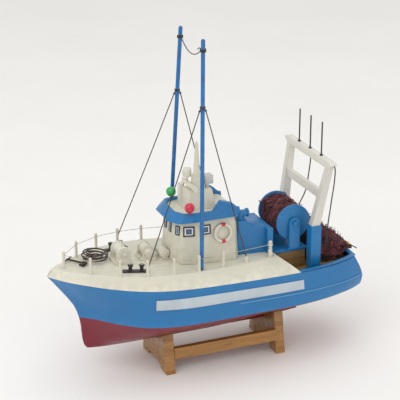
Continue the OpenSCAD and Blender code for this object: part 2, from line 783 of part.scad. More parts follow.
// ---------------------------------------------------------------- net drum
drum_x = 151;
drum_z = 227;
module drum_brackets() {
    color("#3a7db0") both_sides() difference() {
        union() {
            side_plate(-41, 5) polygon(arch(drum_x, 181.05, drum_z, 9.5));
            translate([drum_x - 13, -44.5, 181.05]) cube([26, 6, 3]);
        }
        translate([drum_x, -41, drum_z]) rotate([90, 0, 0]) cylinder(h = 20, d = 6.1, center = true);
    }
}
module drum_spool() {
    color("#3a7db0") translate([drum_x, 0, drum_z]) rotate([90, 0, 0]) {
        cylinder(h = 92, d = 6, center = true);
        cylinder(h = 68, d = 20, center = true);
        for (s = [-1, 1]) translate([0, 0, s * 35]) cylinder(h = 3, r = flange_r, center = true);
        for (s = [-1, 1]) translate([0, 0, s * 45.3]) cylinder(h = 2, d = 9, center = true);
    }
}
module drum_net() {
    color("#5a2428") translate([drum_x, 0, drum_z]) rotate([90, 0, 0]) rotate_extrude()
        polygon([[10.05, -33], [25, -33], [26.5, -20], [25, -6], [27, 8], [25.5, 22], [26, 33], [10.05, 33]]);
}

// ---------------------------------------------------------------- gallows
post_top = 226;
module gallows_posts() {
    color("#3a7db0") both_sides()
        translate([170, -66.5, deck_level + 0.1]) cube([18, 17, post_top - deck_level - 0.1]);
}
function box_plan(x, y, w, d) =
    [[x - w / 2, y - d / 2], [x + w / 2, y - d / 2], [x + w / 2, y + d / 2], [x - w / 2, y + d / 2]];
module gallows_frame() {
    color("#e6e2d6") {
        both_sides() loft(box_plan(179, -58, 15, 13), box_plan(197, -69, 11, 10), post_top + 0.05, beam_z - 3);
        translate([191.5, 0, 0]) rotate([90, 0, 90]) linear_extrude(11)
            polygon([[-85, beam_z + 2], [-72, beam_z - 6], [72, beam_z - 6], [85, beam_z + 2],
                [80, beam_z + 6], [-80, beam_z + 6]]);
        translate([184.5, -60, 272]) cube([7, 120, 14]);
    }
}
module gallows_rods() {
    color("#1f1d1f") for (y = [-40, 0, 40]) translate([197, y, beam_z + 6.1]) {
        cylinder(h = 56, d = 2.4);
        cylinder(h = 2, d = 5);
        translate([0, 0, 56]) sphere(d = 2.4, $fn = 24);
    }
}
// Slack lines made of dark cord, each held at both ends.
FALL = [[198, 0, 325], [198.5, 0, 318], [197, 0, 304], [195, 0, 288], [192.8, 0, 272], [189, 0, 260],
    [184, 0, 250], [179, 0, 241]];
HANGER = [[197, -85.5, 333.5], [197, -88.5, 330], [197, -89, 320], [196, -88, 300], [195, -85, 280],
    [195, -81, 260], [196, -75, 240], [197.5, -69, 220], [199, -64, 200], [198, -61, 186], [194, -59, 178],
    [189.5, -58, 178]];
module gallows_fall() { color("#2e2723") swept(FALL, 2, 8); }
module gallows_hanger() { color("#2e2723") swept(HANGER, 2, 8); }

// Heap of net from the gallows down to the transom.
module stern_net() {
    color("#5a2428") side_plate(0, 78)
        polygon([[193, 145.1], [190, 196], [199, 214], [214, 206], [236, 184], [258, 168], [262, 164],
            [252, 163], [249, 145.1]]);
}

// ---------------------------------------------------------------- drive and steering
module stern_tube() {
    color("#b08d4a") {
        difference() {
            on_shaft(8, 110, 8);
            on_shaft(0, 120, 4.1);
        }
        translate([rudder_x, 0, 86]) difference() {
            cylinder(h = 36, d = 8);
            translate([0, 0, -1]) cylinder(h = 40, d = 4.1);
        }
    }
}
module on_prop() { translate([prop_x, 0, prop_z]) rotate([0, -90 + shaft_rise, 0]) children(); }
module propeller() {
    color("#c29a3a") on_prop() difference() {
        union() {
            translate([0, 0, -4]) cylinder(h = 9, d = 8);
            translate([0, 0, -4]) sphere(d = 8);
            for (a = [0:120:240]) rotate([0, 0, a]) translate([6, 0, 0]) rotate([28, 0, 0])
                translate([-5, -4, -0.6]) cube([9.5, 8, 1.2]);
        }
        translate([0, 0, -2]) cylinder(h = 10, d = 4);
    }
}
module prop_shaft() {
    color("#c4c6c9") {
        on_shaft(-2, 128, 4);
        on_shaft(112, 116, 7);
        on_shaft(122, 134, 11);
    }
}
module motor() {
    color("#8d9094") {
        difference() {
            union() {
                on_shaft(139, 180, 24);
                on_shaft(136.5, 139, 10);
            }
            on_shaft(130, 150, 5);
        }
        difference() {
            translate([26, -9, 56.5]) cube([42, 18, 19]);
            on_shaft(130, 190, 24.2);
        }
    }
}
module rudder() {
    color("#7d2d3c") {
        translate([rudder_x, 0, 0]) {
            translate([0, 0, 62]) cylinder(h = 70, d = 4);
            translate([0, 0, 63]) cylinder(h = 19, d = 5);
        }
        side_plate(0, 3.2) polygon([[rudder_x - 9, 64], [rudder_x + 10, 62], [rudder_x + 15, 63.5],
            [rudder_x + 16, 80], [rudder_x - 8, 80]]);
    }
}
arm = 14;
module lever(x) {
    difference() {
        union() {
            translate([x, 0, 126]) cylinder(h = 4, d = 10);
            translate([x - 3, 0, 126]) cube([6, arm, 2.4]);
            translate([x, arm, 126]) cylinder(h = 2.4, d = 6);
            translate([x, arm, 126]) cylinder(h = 8, d = 2);
        }
        translate([x, 0, 120]) cylinder(h = 20, d = 4);
    }
}
servo_x = 150;
module tiller() { color("#2b2b2e") lever(rudder_x); }
module servo_horn() { color("#e9e7e0") lever(servo_x); }
module steering_servo() {
    color("#26272b") {
        translate([servo_x - 10, -10, 88]) cube([40, 20, 34]);
        translate([servo_x - 18, -10, 112]) cube([56, 20, 2.4]);
        translate([servo_x, 0, 121.9]) cylinder(h = 3.9, d = 10);
        translate([servo_x, 0, 121.9]) cylinder(h = 8.1, d = 4);
    }
}
module pushrod() {
    color("#c4c6c9") difference() {
        union() {
            rod([servo_x, arm, 130.5], [rudder_x, arm, 130.5], 2);
            for (x = [servo_x, rudder_x]) translate([x, arm, 128.9]) cylinder(h = 3.2, d = 6);
        }
        for (x = [servo_x, rudder_x]) translate([x, arm, 120]) cylinder(h = 20, d = 2.1);
    }
}
module battery_pack() {
    color("#3c5a3a") {
        for (y = [-15, 0, 15]) translate([-52, y, 68]) rotate([0, 90, 0]) cylinder(h = 70, d = 14.5);
        translate([-54, -22, 62]) cube([3, 44, 14]);
        translate([17, -22, 62]) cube([3, 44, 14]);
    }
}
module radio_receiver() {
    color("#35383f") translate([-112, -18, 60]) {
        cube([44, 36, 18]);
        translate([6, 30, 18]) cylinder(h = 40, d = 1.6);
    }
}

centred() stand_end_boards();
centred() stand_rails();
centred() hull_bottom();
centred() hull_topsides();
centred() keel_skeg();
centred() bulwark_cap();
centred() rubbing_strakes();
centred() side_boards();
centred() whaleback_deck();
centred() working_deck();
centred() drum_platform();
centred() platform_sides();
centred() bow_rail_posts();
centred() rail_wires();
centred() bollards();
centred() anchor();
centred() anchor_rope();
centred() winch_frames();
centred() windlass_drum();
centred() winch_barrel();
centred() deck_tank();
centred() outrigger_booms();
centred() boom_stays();
centred() boom_tip_line();
centred() house_walls();
centred() house_windows();
centred() window_panes();
centred() visor();
centred() house_roof();
centred() life_rings();
centred() life_ring_bands();
centred() lamp_port();
centred() lamp_starboard();
centred() roof_house();
centred() mast();
centred() search_lamp();
centred() vent_pipe();
centred() roof_box();
centred() engine_casing();
centred() cowl_vent();
centred() drum_brackets();
centred() drum_spool();
centred() drum_net();
centred() gallows_posts();
centred() gallows_frame();
centred() gallows_rods();
centred() gallows_fall();
centred() gallows_hanger();
centred() stern_net();
centred() stern_tube();
centred() propeller();
centred() prop_shaft();
centred() rudder();
centred() tiller();
centred() motor();
centred() steering_servo();
centred() servo_horn();
centred() pushrod();
centred() battery_pack();
centred() radio_receiver();
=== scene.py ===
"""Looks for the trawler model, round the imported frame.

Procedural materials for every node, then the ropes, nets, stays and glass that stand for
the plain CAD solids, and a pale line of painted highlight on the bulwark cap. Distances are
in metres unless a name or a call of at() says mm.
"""
import json
import math
import random

import bpy
import numpy as np
from mathutils import Matrix, Vector, noise


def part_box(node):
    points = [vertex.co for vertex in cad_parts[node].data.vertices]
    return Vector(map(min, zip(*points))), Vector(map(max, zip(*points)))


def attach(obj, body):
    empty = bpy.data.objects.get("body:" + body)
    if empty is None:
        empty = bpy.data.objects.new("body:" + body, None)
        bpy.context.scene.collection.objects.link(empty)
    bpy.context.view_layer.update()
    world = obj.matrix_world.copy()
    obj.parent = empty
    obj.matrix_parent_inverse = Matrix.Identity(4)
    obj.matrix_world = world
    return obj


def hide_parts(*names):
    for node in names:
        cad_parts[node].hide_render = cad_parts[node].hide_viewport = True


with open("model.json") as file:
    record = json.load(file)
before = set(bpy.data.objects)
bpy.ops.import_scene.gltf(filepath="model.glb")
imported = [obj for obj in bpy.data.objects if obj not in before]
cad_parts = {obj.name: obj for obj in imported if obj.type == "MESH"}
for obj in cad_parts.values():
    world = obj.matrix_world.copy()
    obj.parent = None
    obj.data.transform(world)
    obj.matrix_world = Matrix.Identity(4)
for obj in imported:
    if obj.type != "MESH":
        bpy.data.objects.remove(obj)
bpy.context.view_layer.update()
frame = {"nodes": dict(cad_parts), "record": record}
NODES = frame["nodes"]
MM = 0.001
SHIFT = -7.0  # mm along X, from the drawing's own zero to the frame's origin


def at(x, y, z):
    """A point of the CAD drawing, in mm, as a vector in the frame."""
    return Vector(((x + SHIFT) * MM, y * MM, z * MM))


# ---------------------------------------------------------------- materials
def srgb(colour):
    """Hex colour to linear RGBA."""
    parts = [int(colour[i:i + 2], 16) / 255 for i in (1, 3, 5)]
    return [((c + 0.055) / 1.055) ** 2.4 if c > 0.04045 else c / 12.92 for c in parts] + [1.0]


def shade(rgba, factor):
    """A colour made lighter or darker."""
    return [min(1.0, c * factor) for c in rgba[:3]] + [1.0]


class Nodes:
    """A material's node tree with short calls for the nodes used here."""

    def __init__(self, name):
        self.mat = bpy.data.materials.new(name)
        self.mat.use_nodes = True
        self.tree = self.mat.node_tree
        self.shader = self.tree.nodes["Principled BSDF"]
        self.coords = self.tree.nodes.new("ShaderNodeTexCoord").outputs["Object"]

    def link(self, a, b):
        self.tree.links.new(a, b)

    def new(self, kind, **values):
        node = self.tree.nodes.new(kind)
        for key, value in values.items():
            setattr(node, key, value)
        return node

    def feed(self, value, socket):
        """Link an output to a socket, or set the socket's own value."""
        if hasattr(value, "node"):
            self.link(value, socket)
        else:
            socket.default_value = value

    def stretched(self, scale):
        """Object coordinates scaled along each axis."""
        node = self.new("ShaderNodeMapping")
        node.inputs["Scale"].default_value = scale
        self.link(self.coords, node.inputs["Vector"])
        return node.outputs["Vector"]

    def noise(self, scale, detail=3.0, rough=0.5, vector=None, distortion=0.0):
        """Noise from 0 to 1; scale is in cells a metre."""
        node = self.new("ShaderNodeTexNoise")
        node.inputs["Scale"].default_value = scale
        node.inputs["Detail"].default_value = detail
        node.inputs["Roughness"].default_value = rough
        node.inputs["Distortion"].default_value = distortion
        self.link(self.coords if vector is None else vector, node.inputs["Vector"])
        return node.outputs["Fac"]

    def ramp(self, fac, stops):
        """Colour ramp with (place, colour) stops."""
        node = self.new("ShaderNodeValToRGB")
        ramp = node.color_ramp
        while len(ramp.elements) < len(stops):
            ramp.elements.new(0.5)
        for element, (place, colour) in zip(ramp.elements, stops):
            element.position = place
            element.color = colour
        self.link(fac, node.inputs["Fac"])
        return node.outputs["Color"]

    def span(self, fac, low, high, out_low, out_high):
        """Map the range low to high onto out_low to out_high, clamped."""
        node = self.new("ShaderNodeMapRange")
        limits = {"From Min": low, "From Max": high, "To Min": out_low, "To Max": out_high}
        for key, value in limits.items():
            node.inputs[key].default_value = value
        self.link(fac, node.inputs["Value"])
        return node.outputs["Result"]

    def mix(self, fac, a, b, blend="MIX"):
        """Mix of two colours."""
        node = self.new("ShaderNodeMix", data_type="RGBA", blend_type=blend)
        self.feed(fac, node.inputs[0])
        self.feed(a, node.inputs[6])
        self.feed(b, node.inputs[7])
        return node.outputs[2]

    def maths(self, operation, a, b=0.0):
        """One sum on two values."""
        node = self.new("ShaderNodeMath", operation=operation)
        self.feed(a, node.inputs[0])
        self.feed(b, node.inputs[1])
        return node.outputs[0]

    def bump(self, height, strength, distance):
        """Bump on the shader's normal."""
        node = self.new("ShaderNodeBump")
        node.inputs["Strength"].default_value = strength
        node.inputs["Distance"].default_value = distance
        self.link(height, node.inputs["Height"])
        self.link(node.outputs["Normal"], self.shader.inputs["Normal"])

    def set(self, **values):
        """Set or link the shader's sockets, named with _ for each space."""
        for key, value in values.items():
            self.feed(value, self.shader.inputs[key.replace("_", " ")])


def brushed_paint(name, colour, rough=0.34, wear=0.5, coat=0.15):
    """Hand-painted wood: tone changes, brush marks along the boat, rubbed edges, soft sheen."""
    n = Nodes(name)
    base = srgb(colour)
    broad = n.noise(14, 4, 0.55)
    brush = n.noise(1.0, 5, 0.6, n.stretched((45, 320, 420)))
    tone = n.ramp(broad, [(0.3, shade(base, 1 - 0.10 * wear)), (0.7, shade(base, 1 + 0.06 * wear))])
    marks = n.ramp(brush, [(0.35, (0.93, 0.93, 0.93, 1)), (0.65, (1.0, 1.0, 1.0, 1))])
    edge = n.new("ShaderNodeNewGeometry").outputs["Pointiness"]
    corners = n.span(edge, 0.53, 0.62, 0.0, 0.45)
    patches = n.span(n.noise(90, 4), 0.42, 0.6, 0.0, 1.0)
    rubbed = n.maths("MULTIPLY", corners, patches)
    n.set(Base_Color=n.mix(rubbed, n.mix(0.7, tone, marks, "MULTIPLY"), shade(base, 1.5)))
    n.set(Roughness=n.span(n.noise(60, 3), 0.3, 0.7, rough - 0.06, rough + 0.10))
    n.set(Coat_Weight=coat, Coat_Roughness=0.25)
    orange_peel = n.noise(900, 2)
    n.bump(n.mix(0.4, brush, orange_peel), 0.16, 0.0003)
    return n.mat


def smooth_gloss(name, colour, rough=0.22, coat=0.4):
    """Moulded or dipped gloss: slight tone drift and tiny dust specks."""
    n = Nodes(name)
    base = srgb(colour)
    tone = n.ramp(n.noise(35, 3), [(0.3, shade(base, 0.92)), (0.7, shade(base, 1.05))])
    n.set(Base_Color=tone, Roughness=n.span(n.noise(160, 3), 0.3, 0.7, rough - 0.05, rough + 0.08))
    n.set(Coat_Weight=coat, Coat_Roughness=0.12)
    n.bump(n.noise(500, 2), 0.06, 0.0002)
    return n.mat


def varnished_wood(name, light, dark, grain=(9, 90, 130), coat=0.35, rough=0.38, planks=0.0):
    """Wood with its grain along X; planks, if given, is their width in metres across Y."""
    n = Nodes(name)
    rings = n.noise(1.0, 6, 0.62, n.stretched(grain), 0.6)
    pores = n.noise(1.0, 2, 0.5, n.stretched((60, 900, 900)))
    middle = shade(srgb(light), 0.82)
    colour = n.ramp(rings, [(0.28, srgb(dark)), (0.5, middle), (0.72, srgb(light))])
    pits = n.ramp(pores, [(0.38, (0.62, 0.55, 0.5, 1)), (0.55, (1, 1, 1, 1))])
    colour = n.mix(0.55, colour, pits, "MULTIPLY")
    height = rings
    if planks:
        split = n.new("ShaderNodeSeparateXYZ")
        n.link(n.coords, split.inputs[0])
        lane = n.maths("FRACT", n.maths("DIVIDE", split.outputs["Y"], planks))
        off_middle = n.maths("ABSOLUTE", n.maths("SUBTRACT", lane, 0.5))
        seam = n.span(off_middle, 0.44, 0.49, 0.0, 1.0)
        colour = n.mix(seam, colour, srgb("#3a2a1c"))
        height = n.mix(seam, rings, (0, 0, 0, 1))
    n.set(Base_Color=colour, Roughness=n.span(rings, 0.3, 0.7, rough + 0.12, rough - 0.06))
    n.set(Coat_Weight=coat, Coat_Roughness=0.2)
    n.bump(height, 0.3, 0.0004)
    return n.mat


def metal(name, colour, rough=0.3, dull=0.0):
    """Bare metal with fine turning marks and patches of tarnish."""
    n = Nodes(name)
    base = srgb(colour)
    patch = n.noise(120, 5, 0.6)
    n.set(Base_Color=n.ramp(patch, [(0.35, shade(base, 0.72 - 0.2 * dull)), (0.62, base)]))
    n.set(Metallic=1.0 - 0.6 * dull, Roughness=n.span(patch, 0.3, 0.7, rough + 0.2, rough))
    n.bump(n.noise(1.0, 3, 0.5, n.stretched((2500, 300, 300))), 0.12, 0.0001)
    return n.mat


def cordage(name, colour, dark, lay_scale=900):
    """Twisted fibre: painted shade darkening the grooves between strands, and a fuzzy, matt surface."""
    n = Nodes(name)
    wave = n.new("ShaderNodeTexWave", wave_type="BANDS", bands_direction="DIAGONAL")
    wave.inputs["Scale"].default_value = lay_scale
    wave.inputs["Distortion"].default_value = 1.5
    n.link(n.coords, wave.inputs["Vector"])
    fuzz = n.noise(2600, 3, 0.6)
    strand = n.mix(0.35, wave.outputs["Fac"], fuzz)
    # The dark stop falls in the grooves between the strands: painted shade.
    n.set(Base_Color=n.ramp(strand, [(0.2, srgb(dark)), (0.75, srgb(colour))]))
    n.set(Roughness=0.86, Sheen_Weight=0.25, Sheen_Roughness=0.5)
    n.bump(strand, 0.7, 0.0004)
    return n.mat


def netting(name, colour, dark, accent):
    """Dyed twine with faded and soaked patches."""
    n = Nodes(name)
    patch = n.noise(70, 4, 0.6)
    fine = n.noise(1800, 3, 0.6)
    dye = n.ramp(patch, [(0.3, srgb(dark)), (0.55, srgb(colour)), (0.78, srgb(accent))])
    fibre = n.ramp(fine, [(0.3, (0.6, 0.6, 0.6, 1)), (0.7, (1.1, 1.1, 1.1, 1))])
    n.set(Base_Color=n.mix(0.5, dye, fibre, "MULTIPLY"))
    n.set(Roughness=0.88, Sheen_Weight=0.2, Sheen_Roughness=0.5)
    n.bump(fine, 0.6, 0.0003)
    return n.mat


BLUE = brushed_paint("paint_blue", "#1770ab", rough=0.38)
RED = brushed_paint("paint_dark_red", "#780f26")
CREAM = brushed_paint("paint_cream", "#d5d1c0", rough=0.42, wear=0.35)
HOUSE = brushed_paint("paint_house", "#d0ccbc", rough=0.42, wear=0.35)
# The rubbing strakes are real pieces; their pale blue is painted highlight along the hull's knuckle, and
# the cap line takes it as well.
STRAKE_HIGHLIGHT = brushed_paint("paint_strake_highlight", "#5b9ac8", rough=0.4)
BOARD = smooth_gloss("side_board", "#b9c3ca", rough=0.4, coat=0.1)
STAND = varnished_wood("stand_wood", "#b88544", "#7d5026")
DECK = varnished_wood("deck_wood", "#a3804f", "#6a4c28", (14, 120, 160), 0.1, 0.5, planks=0.011)
PLY = varnished_wood("platform_wood", "#a3804f", "#705030", (14, 100, 160), 0.1, 0.5)
BOOM = brushed_paint("paint_boom", "#1a64a0", rough=0.36)
WIRE = metal("rail_wire", "#cfcabc", rough=0.45, dull=0.6)
BLACK = smooth_gloss("black_fittings", "#262024", rough=0.42, coat=0.1)
IRON = metal("dark_iron", "#4a403c", rough=0.55, dull=0.5)
ROPE = cordage("dark_rope", "#4d342c", "#1e1412")
THREAD = cordage("stay_thread", "#544840", "#221b18", 1500)
LINE = cordage("dark_line", "#40362f", "#181310", 1500)
NET = netting("net_twine", "#66262f", "#2b0d17", "#9a5a55")
NET_FADED = netting("net_faded", "#8c4a52", "#55242f", "#b98a80")
# The nets' inside takes a darker copy of the twine colours: painted shade under the loose twine.
NET_SHADED = netting("net_painted_shade", "#32111a", "#120408", "#4c1e26")
FRAME_BLACK = smooth_gloss("window_frame", "#231d20", rough=0.35)
PANE = smooth_gloss("window_border", "#e8edf2", rough=0.25)
GLASS = smooth_gloss("window_glass", "#1d4f80", rough=0.1, coat=1.0)
RING = smooth_gloss("ring_cream", "#d6d1c0", rough=0.38, coat=0.2)
RING_RED = smooth_gloss("ring_red", "#c4213f", rough=0.35, coat=0.2)
LAMP_RED = smooth_gloss("lamp_red", "#c81c40", rough=0.22, coat=0.6)
LAMP_GREEN = smooth_gloss("lamp_green", "#1fa352", rough=0.22, coat=0.6)
WHITE = brushed_paint("pipe_white", "#d8d5c9", rough=0.4, wear=0.25)
GREY = brushed_paint("box_grey", "#b9bbb8", rough=0.42, wear=0.25)
GALLOWS = brushed_paint("paint_gallows", "#dcd9cf", rough=0.4, wear=0.3)
BRASS = metal("brass", "#c99a3c", rough=0.24)
STEEL = metal("steel", "#c4c6c9", rough=0.25)
CAN = metal("motor_can", "#9a9ca0", rough=0.35)
PLASTIC = smooth_gloss("black_plastic", "#2a2a2e", rough=0.45, coat=0.0)
NYLON = smooth_gloss("white_plastic", "#e9e7e0", rough=0.4, coat=0.1)
BATTERY = smooth_gloss("battery_wrap", "#2f5a35", rough=0.3, coat=0.3)
YELLOW = smooth_gloss("float_yellow", "#c89a3f", rough=0.45, coat=0.1)
TWINE_BLUE = cordage("twine_blue", "#3e8fc0", "#1d4d74", 1500)

# The record's material slots; a piece of its own may take another finish.
FINISH = {
    "hull_blue": BLUE, "hull_red": RED, "cream_paint": CREAM, "house_cream": HOUSE,
    "strake_blue": STRAKE_HIGHLIGHT, "board_grey": BOARD, "stand_wood": STAND, "deck_wood": DECK, "pale_wire": WIRE,
    "black_fittings": BLACK, "dark_iron": IRON, "dark_rope": LINE, "thread": THREAD, "boom_blue": BOOM,
    "window_black": FRAME_BLACK, "window_white": PANE, "ring_cream": RING, "ring_red": RING_RED,
    "lamp_red": LAMP_RED, "lamp_green": LAMP_GREEN, "lamp_cream": WHITE, "pipe_white": WHITE,
    "box_grey": GREY, "gallows_white": GALLOWS, "net_burgundy": NET, "brass": BRASS, "steel": STEEL,
    "motor_can": CAN, "black_plastic": PLASTIC, "white_plastic": NYLON, "battery_green": BATTERY,
}


WELD = 0.02 * MM
EDGE = 0.5 * MM
FINE_EDGE = 0.15 * MM
FINE_NODES = {"house_windows", "window_panes", "rail_wires", "rubbing_strakes", "side_boards",
              "boom_stays", "pushrod", "propeller", "anchor", "search_lamp", "drum_brackets"}
ROUND_NODES = {"hull_bottom", "hull_topsides", "whaleback_deck", "drum_net", "life_rings",
               "lamp_port", "lamp_starboard", "life_ring_bands"}


def dress_frame():
    """Material, merged vertices, softened edges and smooth shading for every CAD node."""
    slots = {s["node"]: s["material_slot"] for s in frame["record"]["subparts"]}
    for name, obj in NODES.items():
        mesh = obj.data
        mesh.materials.clear()
        mesh.materials.append(PLY if name == "platform_sides" else FINISH[slots[name]])
        weld = obj.modifiers.new("weld", "WELD")
        weld.merge_threshold = WELD
        if name not in ROUND_NODES:
            bevel = obj.modifiers.new("bevel", "BEVEL")
            bevel.width = FINE_EDGE if name in FINE_NODES else EDGE
            bevel.segments = 2
            bevel.limit_method = "ANGLE"
            bevel.angle_limit = math.radians(38)
            bevel.use_clamp_overlap = True
            bevel.miter_outer = "MITER_ARC"
        mesh.polygons.foreach_set("use_smooth", [True] * len(mesh.polygons))
        split = obj.modifiers.new("split", "EDGE_SPLIT")
        split.split_angle = math.radians(34)


dress_frame()

# ---------------------------------------------------------------- camera, floor and light
CAM_AZIMUTH = math.radians(-22.5)
CAM_ELEVATION = math.radians(20.9)
CAM_DISTANCE = 2.15
CAM_TARGET = at(0, 0, 275)
CAM_LENS = 119.7
FLOOR_HALF = 12.0
FLOOR_DROP = 0.2 * MM
LIGHT_AIM = Vector((0, 0, 0.2))
LIGHTS = [  # name, place, size, watts
    ("key", (-2.0, -1.2, 2.4), (2.2, 2.2), 26),
    ("fill", (1.6, -2.4, 1.2), (2.4, 1.6), 7),
    ("top", (0.2, 0.4, 3.0), (2.6, 2.6), 14),
]


def make_camera():
    """Camera ahead of the port bow, a little above."""
    cam = bpy.data.objects.new("camera", bpy.data.cameras.new("camera"))
    bpy.context.collection.objects.link(cam)
    level = math.cos(CAM_ELEVATION)
    back = Vector((math.sin(CAM_AZIMUTH) * level, -math.cos(CAM_AZIMUTH) * level,
                   math.sin(CAM_ELEVATION)))
    cam.location = CAM_TARGET + back * CAM_DISTANCE
    cam.rotation_mode = "QUATERNION"
    cam.rotation_quaternion = (-back).to_track_quat("-Z", "Y")
    cam.data.lens = CAM_LENS
    cam.data.sensor_width = 36
    cam.data.clip_start = 0.05
    cam.data.clip_end = 50
    bpy.context.scene.camera = cam


def make_floor():
    """Plain pale paper under the stand."""
    mesh = bpy.data.meshes.new("floor")
    corners = [(x * FLOOR_HALF, y * FLOOR_HALF, 0) for x, y in ((-1, -1), (1, -1), (1, 1), (-1, 1))]
    mesh.from_pydata(corners, [], [(0, 1, 2, 3)])
    floor = bpy.data.objects.new("floor", mesh)
    bpy.context.collection.objects.link(floor)
    floor.location.z = -FLOOR_DROP
    n = Nodes("floor_paper")
    tone = n.ramp(n.noise(3, 2), [(0.3, srgb("#f4f2ef")), (0.7, srgb("#f7f5f3"))])
    n.set(Base_Color=tone, Roughness=0.7)
    mesh.materials.append(n.mat)


def make_light():
    """Soft white surroundings and three large lamps."""
    world = bpy.data.worlds.new("studio")
    world.use_nodes = True
    background = world.node_tree.nodes["Background"]
    background.inputs["Color"].default_value = (1.0, 0.995, 0.985, 1)
    background.inputs["Strength"].default_value = 0.78
    bpy.context.scene.world = world
    for name, place, size, watts in LIGHTS:
        data = bpy.data.lights.new(name, "AREA")
        data.shape = "RECTANGLE"
        data.size, data.size_y = size
        data.energy = watts
        lamp = bpy.data.objects.new(name, data)
        bpy.context.collection.objects.link(lamp)
        lamp.location = place
        lamp.rotation_mode = "QUATERNION"
        lamp.rotation_quaternion = (LIGHT_AIM - Vector(place)).to_track_quat("-Z", "Y")
    bpy.context.scene.view_settings.view_transform = "Standard"


make_camera()
make_floor()
make_light()

# ---------------------------------------------------------------- mesh building
def way_frames(points):
    """A side and an up vector at each point of a path, turned as little as possible along it."""
    points = [Vector(p) for p in points]
    last = len(points) - 1
    ways = [(points[min(i + 1, last)] - points[max(i - 1, 0)]).normalized() for i in range(last + 1)]
    side = ways[0].orthogonal().normalized()
    frames = []
    for way in ways:
        side = (side - way * side.dot(way)).normalized()
        frames.append((side, way.cross(side)))
    return points, frames


class Bundle:
    """Vertices and faces gathered from many tubes, sheets and boxes into one object."""

    def __init__(self):
        self.points = []
        self.faces = []

    def tube(self, path, radius, sides=5, taper=0.0):
        """Round cord along a path; taper is the share of its radius lost by the end."""
        points, frames = way_frames(path)
        start, last = len(self.points), len(points) - 1
        for i, (p, (side, up)) in enumerate(zip(points, frames)):
            r = radius * (1 - taper * (i / last))
            for k in range(sides):
                a = math.tau * k / sides
                self.points.append(p + (side * math.cos(a) + up * math.sin(a)) * r)
        for i in range(last):
            for k in range(sides):
                a, b = start + i * sides + k, start + i * sides + (k + 1) % sides
                self.faces.append((a, b, b + sides, a + sides))
        self.faces.append(tuple(start + k for k in reversed(range(sides))))
        self.faces.append(tuple(start + last * sides + k for k in range(sides)))

    def ring(self, centre, axis, radius, thick, count=20, sides=6):
        """Closed loop of cord about an axis."""
        turn = Vector(axis).normalized().to_track_quat("Z", "Y")
        start = len(self.points)
        for i in range(count):
            a = math.tau * i / count
            out = turn @ Vector((math.cos(a), math.sin(a), 0))
            up = turn @ Vector((0, 0, 1))
            for k in range(sides):
                b = math.tau * k / sides
                across = out * (radius + thick * math.cos(b))
                self.points.append(Vector(centre) + across + up * thick * math.sin(b))
        for i in range(count):
            here, there = start + i * sides, start + (i + 1) % count * sides
            for k in range(sides):
                after = (k + 1) % sides
                self.faces.append((here + k, there + k, there + after, here + after))

    def rows(self, rows):
        """Skin over rows of points, each row a closed loop, with both ends capped."""
        start, n = len(self.points), len(rows[0])
        for row in rows:
            self.points.extend(row)
        for i in range(len(rows) - 1):
            for k in range(n):
                a, b = start + i * n + k, start + i * n + (k + 1) % n
                self.faces.append((a, b, b + n, a + n))
        self.faces.append(tuple(start + k for k in reversed(range(n))))
        self.faces.append(tuple(start + (len(rows) - 1) * n + k for k in range(n)))

    def block(self, centre, along, across, up):
        """Box from its middle and three half edges."""
        start = len(self.points)
        for s in (-1, 1):
            for t in (-1, 1):
                for u in (-1, 1):
                    self.points.append(centre + along * s + across * t + up * u)
        for face in ((0, 1, 3, 2), (4, 6, 7, 5), (0, 4, 5, 1), (2, 3, 7, 6), (0, 2, 6, 4), (1, 5, 7, 3)):
            self.faces.append(tuple(start + k for k in face))

    def ball(self, centre, radii, count=14):
        """Ellipsoid with radii along X, Y and Z, its poles cut flat."""
        rows = []
        for i in range(count + 1):
            lift = math.pi * (0.02 + 0.96 * i / count)
            wide, high = math.sin(lift), -math.cos(lift)
            row = []
            for k in range(2 * count):
                a = math.tau * k / (2 * count)
                p = (wide * math.cos(a) * radii[0], wide * math.sin(a) * radii[1], high * radii[2])
                row.append(Vector(centre) + Vector(p))
            rows.append(row)
        self.rows(rows)

    def object(self, name, material, body, slot=None, replaces=(), smooth=True):
        """Make the piece, riding on its body and standing for the nodes it replaces."""
        mesh = bpy.data.meshes.new(name)
        mesh.from_pydata([tuple(p) for p in self.points], [], self.faces)
        mesh.update()
        mesh.polygons.foreach_set("use_smooth", [smooth] * len(mesh.polygons))
        mesh.materials.append(material)
        obj = bpy.data.objects.new(name, mesh)
        bpy.context.collection.objects.link(obj)
        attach(obj, body)
        if replaces:
            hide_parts(*replaces)


def smooth_path(points, per_span=4):
    """Catmull-Rom path through points, with per_span steps between each pair."""
    points = [Vector(p) for p in points]
    padded = [points[0] * 2 - points[1]] + points + [points[-1] * 2 - points[-2]]
    path = []
    for i in range(1, len(padded) - 2):
        a, b, c, d = padded[i - 1:i + 3]
        for k in range(per_span):
            t = k / per_span
            path.append(0.5 * (2 * b + (c - a) * t + (2 * a - 5 * b + 4 * c - d) * t * t
                               + (3 * b - a - 3 * c + d) * t ** 3))
    path.append(points[-1])
    return path


def path_length(path):
    """Length along a path's points."""
    return sum((b - a).length for a, b in zip(path, path[1:]))


def twisted(path, radius, pitch, bundle, strands=2, sides=5):
    """Laid cord: strands wound round each other along a path."""
    steps = max(8, int(path_length(path) / pitch * 8))
    lengths = [0.0]
    for a, b in zip(path, path[1:]):
        lengths.append(lengths[-1] + (b - a).length)
    even, j = [], 0
    for i in range(steps + 1):
        want = lengths[-1] * i / steps
        while j < len(lengths) - 2 and lengths[j + 1] < want:
            j += 1
        share = (want - lengths[j]) / max(lengths[j + 1] - lengths[j], 1e-9)
        even.append(path[j].lerp(path[j + 1], share))
    points, frames = way_frames(even)
    for s in range(strands):
        wound = []
        for i, (p, (side, up)) in enumerate(zip(points, frames)):
            a = math.tau * (s / strands + lengths[-1] * i / steps / pitch)
            wound.append(p + (side * math.cos(a) + up * math.sin(a)) * radius * 0.5)
        bundle.tube(wound, radius * 0.56, sides)


